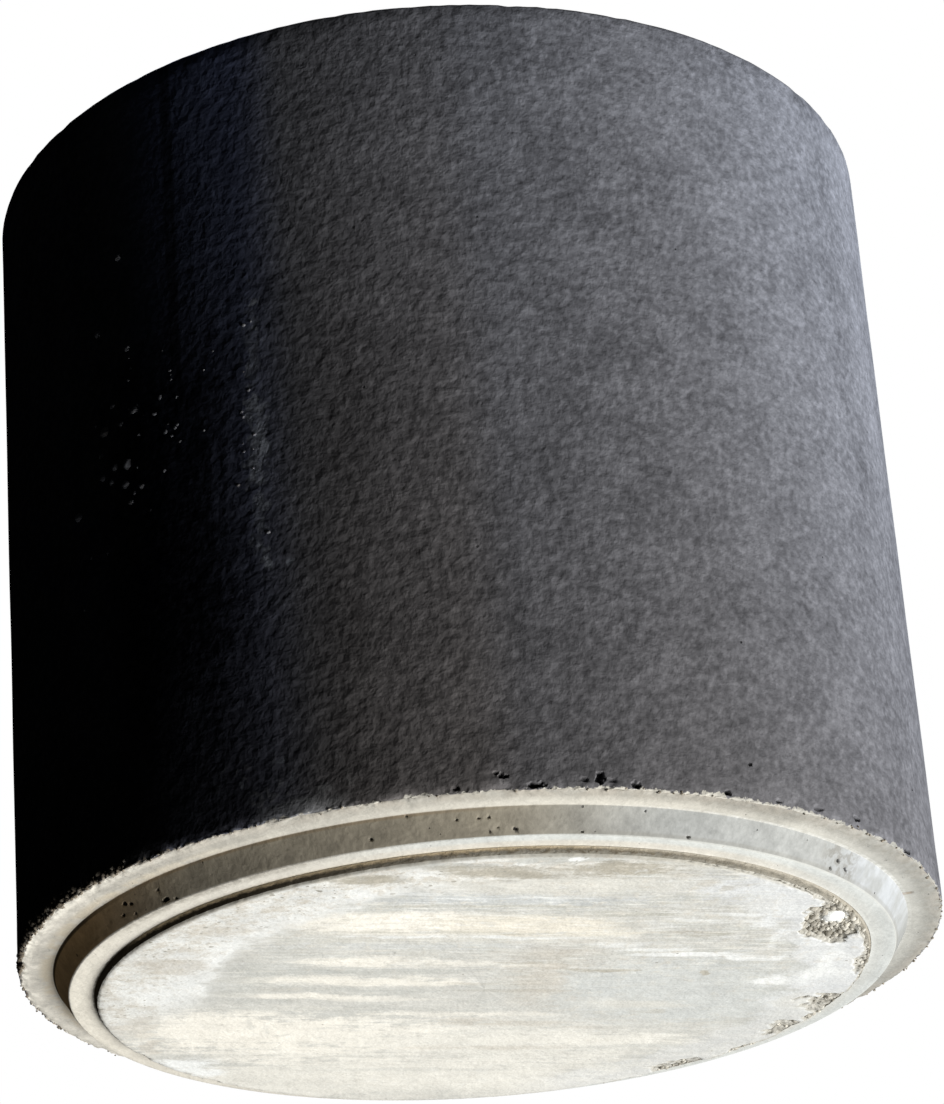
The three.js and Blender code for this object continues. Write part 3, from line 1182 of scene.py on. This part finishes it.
def pebbleFinish(name, colours):
    f = Finish(name)
    place, xyz = f.place()[:2]
    island = f.add("NewGeometry", output="Random Per Island")
    dust = f.clouds(place, 0.003, 2, 0.6)
    x, y, size = pebbleSet["lump"]
    fromLump = f.vector("DISTANCE", place, (x, y, size / 2), "Value")
    dark, middle, pale = colours
    colour = f.layers(
        dark,
        (island.fade(0, 0.6), middle),
        (island.fade(0.6, 1), pale),
        (dust.fade(0.45, 0.65, 0.4), "gritPale"),
        (xyz.fade(-0.16, -0.24, 0.62), dark),
        (fromLump.fade(size * 1.35, size * 1.15), "white"),
    )
    return f.shade(colour, dust * 0.0004, 0.9)


def finishHeap(heap, name, finish):
    for face in heap.faces:
        face.smooth = True
    mesh = bpy.data.meshes.new(name)
    heap.to_mesh(mesh)
    heap.free()
    mesh.materials.append(finish)
    piece = addObject(name, mesh)
    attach(piece, "root")
    print(name, "made,", len(mesh.polygons), "triangles")


def makePebbles():
    dice = random.Random(pebbleSet["seed"])
    heap = bmesh.new()
    flatness = pebbleSet["flatness"]
    x, y, size = pebbleSet["lump"]
    placed = [(x, y, size)]
    addPebble(heap, Vector((x, y, nest["depth"])), size, 0.42, dice, 0.12)
    tries = 0
    while len(placed) < pebbleSet["count"] and tries < pebbleSet["tries"]:
        tries += 1
        x = nest["x"] + dice.uniform(-1, 1) * nest["halfX"]
        y = nest["y"] + dice.uniform(-1, 1) * nest["halfY"]
        share = dice.uniform(0.5, 1.0) if tries <= pebbleSet["bigTries"] else dice.random() ** 1.4
        size = pebbleSet["smallest"] + (pebbleSet["largest"] - pebbleSet["smallest"]) * share
        spot = Spot(Vector((x, y, 0)))
        tooClose = any(math.hypot(x - a, y - b) < size + s for a, b, s in placed)
        if spot.inNest() < 0.12 or spot.radius > plugFace - size * 0.5 or tooClose:
            continue
        placed.append((x, y, size))
        middle = nest["depth"] * 0.98 - size * dice.uniform(-0.1, 0.35)
        addPebble(heap, Vector((x, y, max(middle, size * 1.1))), size, flatness, dice)
    for _ in range(pebbleSet["edgeCount"]):
        middle, halfTurn, reach = dice.choice([row[:3] for row in brokenEdges if row[0] > 0])
        turn = math.radians(middle + dice.uniform(-1, 1) * halfTurn)
        size = dice.uniform(pebbleSet["edgeSmallest"], pebbleSet["edgeLargest"])
        radius = plugFace - dice.uniform(0.05, 0.8) * reach
        spot = Spot(Vector((radius * math.sin(turn), -radius * math.cos(turn), 0)))
        floor = plugLoss(spot)
        if floor > 0.0016:
            addPebble(heap, spot.point + Vector((0, 0, max(floor, size * 1.25))), size, flatness, dice)
    finishHeap(heap, "barePebbles", pebbleFinish("barePebbles", pebbleSet["colours"]))


# crumbs sit where the arris is broken, and the far left has more and bigger ones
def makeCrumbs():
    dice = random.Random(pebbleSet["crumbSeed"])
    heap = bmesh.new()
    made = tries = 0
    smallest, largest = pebbleSet["crumbSmallest"], pebbleSet["crumbLargest"]
    farLeftGrowth, elsewhereGrowth = pebbleSet["farLeftGrowth"], pebbleSet["elsewhereGrowth"]
    while made < pebbleSet["crumbCount"] and tries < pebbleSet["crumbTries"]:
        tries += 1
        farLeft = dice.random() < pebbleSet["farLeftShare"]
        turn = math.radians(dice.uniform(*(pebbleSet["farLeftTurns"] if farLeft else (-180, 180))))
        growth = farLeftGrowth if farLeft else elsewhereGrowth
        size = smallest + (largest * growth - smallest) * dice.random() ** 1.6
        outward = Vector((math.sin(turn), -math.cos(turn), 0))
        loss = arrisLoss(Spot(outward * outerRadius + Vector((0, 0, shoulderHeight + 0.001))))
        if loss < size * 0.8 and not farLeft:
            continue
        made += 1
        across = (loss * 1.3 + 0.0008) * dice.random()
        radius = min(outerRadius - loss * 1.3 + across - size * 0.45, outerRadius - size * 1.3)
        height = shoulderHeight + max(across + size * 0.25, size * 0.9)
        if farLeft:
            height = shoulderHeight + size * 0.8 + abs(dice.gauss(0, pebbleSet["farLeftRise"]))
            foot = outward * outerRadius + Vector((0, 0, height))
            radius = outerRadius - lostDepth(Spot(foot)) * 0.8 - size * 0.35
        addPebble(heap, outward * radius + Vector((0, 0, height)), size, 0.9, dice)
    finishHeap(heap, "arrisCrumbs", pebbleFinish("arrisCrumbs", pebbleSet["crumbColours"]))


makePebbles()
makeCrumbs()


# drops of lime and cement that dried on the wall: azimuth in degrees, height, half width, half height
limeDrops = inMetres([
    (-45.3, 390.5, 6, 4),
    (-39.9, 396, 4.5, 3),
    (-46, 479, 3.8, 3),
    (-41.8, 536, 3.2, 3),
    (-40.7, 452, 3, 2.2),
    (-43.6, 356, 3.6, 3.2),
    (-41.3, 353, 4.6, 4.8),
    (-45.9, 352.5, 3, 2.6),
    (-41.8, 337, 3.8, 3.4),
    (-51.1, 332.5, 5, 3.6),
    (-36.6, 385, 2.6, 1.8),
    (-35, 366, 2, 2.2),
    (-33.5, 366, 1.6, 1.8),
    (-46.1, 372, 3, 2.2),
    (-44.2, 345, 2.6, 2.6),
    (-39.1, 329, 2.8, 2.2),
    (-41, 320, 2.8, 2.2),
    (-35.6, 397, 1.8, 2.2),
    (-42.2, 390, 2.8, 2.2),
    (-43.6, 409, 3.4, 2.2),
], 3)

dropSet = {
    "seed": 19,
    "thickness": 0.7,        # as a share of the smaller half size
    "tiny": 40,              # tiny ones round the drops at the left and along the run of lime
    "tinySizes": (0.0008, 0.0019),
    "tinyTurns": [(-38, 5), (-23.5, 1.6)],      # azimuth and spread of each group
    "tinyHeights": (0.365, 0.055),
    "firstGroupShare": 0.65,
    "scattered": 12,         # drops on the side turned away
    "scatteredSizes": (0.0014, 0.003),
    "scatteredTurns": (195, 250),
    "scatteredHeights": (0.36, 0.09),
    "colour": (0.58, 0.6, 0.66),
    "stain": (0.5, 0.46, 0.42),
}


def addDrop(heap, drop, dice):
    turn = math.radians(drop[0])
    outward = Vector((math.sin(turn), -math.cos(turn), 0))
    along = Vector((math.cos(turn), math.sin(turn), 0))
    wall = outward * outerRadius + Vector((0, 0, drop[1]))
    at = wall - outward * (wornDepth(Spot(wall)) + 0.0002)
    thick = dropSet["thickness"] * min(drop[2], drop[3])
    shift = Vector((dice.uniform(0, 50), 0, 0))
    for vert in bmesh.ops.create_icosphere(heap, subdivisions=2, radius=1)["verts"]:
        x, y, z = vert.co * (1 + 0.45 * noise.noise(vert.co * 1.4 + shift))
        vert.co = at + along * (x * drop[2]) + outward * (y * thick) + Vector((0, 0, z * drop[3]))


def dropFinish():
    f = Finish("driedLime")
    island = f.add("NewGeometry", output="Random Per Island")
    dust = f.clouds(f.place()[0], 0.003, 2, 0.6)
    stained = dust.fade(0.4, 0.7, 0.4) + island.fade(0.85, 1, 0.6)
    return f.shade(f.blend(stained, dropSet["colour"], dropSet["stain"]), dust * 0.0003)


def makeDrops():
    dice = random.Random(dropSet["seed"])
    heap = bmesh.new()
    for drop in limeDrops:
        addDrop(heap, drop, dice)
    for _ in range(dropSet["tiny"]):
        size = dice.uniform(*dropSet["tinySizes"])
        group = 0 if dice.random() < dropSet["firstGroupShare"] else 1
        turn = dice.gauss(*dropSet["tinyTurns"][group])
        height = dice.gauss(*dropSet["tinyHeights"])
        addDrop(heap, (turn, height, size, size * dice.uniform(0.7, 1.1)), dice)
    for _ in range(dropSet["scattered"]):
        size = dice.uniform(*dropSet["scatteredSizes"])
        turn = dice.uniform(*dropSet["scatteredTurns"])
        height = dice.gauss(*dropSet["scatteredHeights"])
        addDrop(heap, (turn, height, size, size * dice.uniform(0.6, 1.1)), dice)
    finishHeap(heap, "limeDrops", dropFinish())


makeDrops()


# a pale floor that takes the pipe's shadow, with a painted contact shadow round the pipe's foot
floorSet = {
    "size": 8.0,
    "drop": 0.0004,
    "colour": (0.8, 0.8, 0.79),
    "contactShadow": (0.1, 0.1, 0.1),    # painted contact shadow close to the pipe's foot
    "glow": 0.3,             # keeps the shadow from going black
    "clearFrom": 1.3,        # metres from the middle where it fades into the background
    "clearAt": 2.6,
}

# level is the brightness that a white card facing the lamp shows; a lamp without a colour is white
lampSet = {
    "key": {"azimuth": 76, "elevation": -42, "distance": 7.0, "size": 6.0, "level": 1.66,
            "colour": (1.0, 0.99, 0.97)},
    "back": {"azimuth": 176, "elevation": 26, "distance": 6.0, "size": 1.6, "level": 0.8},
    "below": {"azimuth": 0, "elevation": -90, "distance": 6.0, "size": 1.2, "level": 0.1},
    "top": {"azimuth": 176, "elevation": 66, "distance": 6.0, "size": 2.4, "level": 0.85},
}
skySet = {"fill": 0.002, "fillColour": (0.9, 0.95, 1.0, 1)}


def makeFloor():
    half = floorSet["size"] / 2
    mesh = bpy.data.meshes.new("floor")
    corners = [(-half, -half, 0), (half, -half, 0), (half, half, 0), (-half, half, 0)]
    mesh.from_pydata(corners, [], [(0, 1, 2, 3)])
    floor = addObject("floor", mesh)
    floor.location.z = -floorSet["drop"]
    f = Finish("floorPaint")
    outward = f.vector("LENGTH", f.place()[0], (0, 0, 0), "Value")
    # painted contact shadow round the pipe's foot
    away = outward.fade(outerRadius, outerRadius + 0.1)
    colour = f.blend(away, floorSet["contactShadow"], floorSet["colour"])
    sockets = {"Base Color": colour, "Emission Color": colour, "Emission Strength": floorSet["glow"]}
    paint = f.add("BsdfPrincipled", {}, {**sockets, "Specular IOR Level": 0.0, "Roughness": 1.0})
    clear = f.add("BsdfTransparent")
    under = f.add("NewGeometry", output="Backfacing")   # from below the floor is clear
    beyond = outward.fade(floorSet["clearFrom"], floorSet["clearAt"])
    surface = f.add("MixShader", {}, {0: under.most(beyond), 1: paint, 2: clear})
    f.add("OutputMaterial", {}, {"Surface": surface})
    mesh.materials.append(f.owner)
    # the light from below passes it
    floor.visible_shadow = False
    floor.visible_diffuse = False
    floor.visible_glossy = False
    floor.visible_transmission = False


def makeLamps():
    middle = Vector((0, 0, pipeHeight / 2))
    for name, lamp in lampSet.items():
        turn, rise = math.radians(lamp["azimuth"]), math.radians(lamp["elevation"])
        toward = Vector((math.sin(turn) * math.cos(rise), -math.cos(turn) * math.cos(rise), math.sin(rise)))
        data = bpy.data.lights.new(name, "AREA")
        data.shape = "DISK"
        data.size = lamp["size"]
        data.color = lamp.get("colour", (1, 1, 1))
        data.energy = lamp["level"] * math.pi ** 2 * lamp["distance"] ** 2
        light = addObject(name, data)
        light.location = middle + toward * lamp["distance"]
        light.rotation_mode = "QUATERNION"
        light.rotation_quaternion = toward.to_track_quat("Z", "Y")


def makeWorld():
    world = bpy.data.worlds.new("studio")
    bpy.context.scene.world = world
    f = Finish(world)
    ray = f.add("LightPath", output="Is Camera Ray")
    seen = ray.most(ray.other("Is Glossy Ray")).most(ray.other("Is Transmission Ray"))
    white = f.add("Background", {}, {"Color": (1, 1, 1, 1), "Strength": 1.0})
    fill = f.add("Background", {}, {"Color": skySet["fillColour"], "Strength": skySet["fill"]})
    surface = f.add("MixShader", {}, {0: seen, 1: fill, 2: white})
    f.add("OutputWorld", {}, {"Surface": surface})


makeFloor()
makeLamps()
makeWorld()
bpy.context.scene.view_settings.view_transform = "Standard"
print("studio ready")
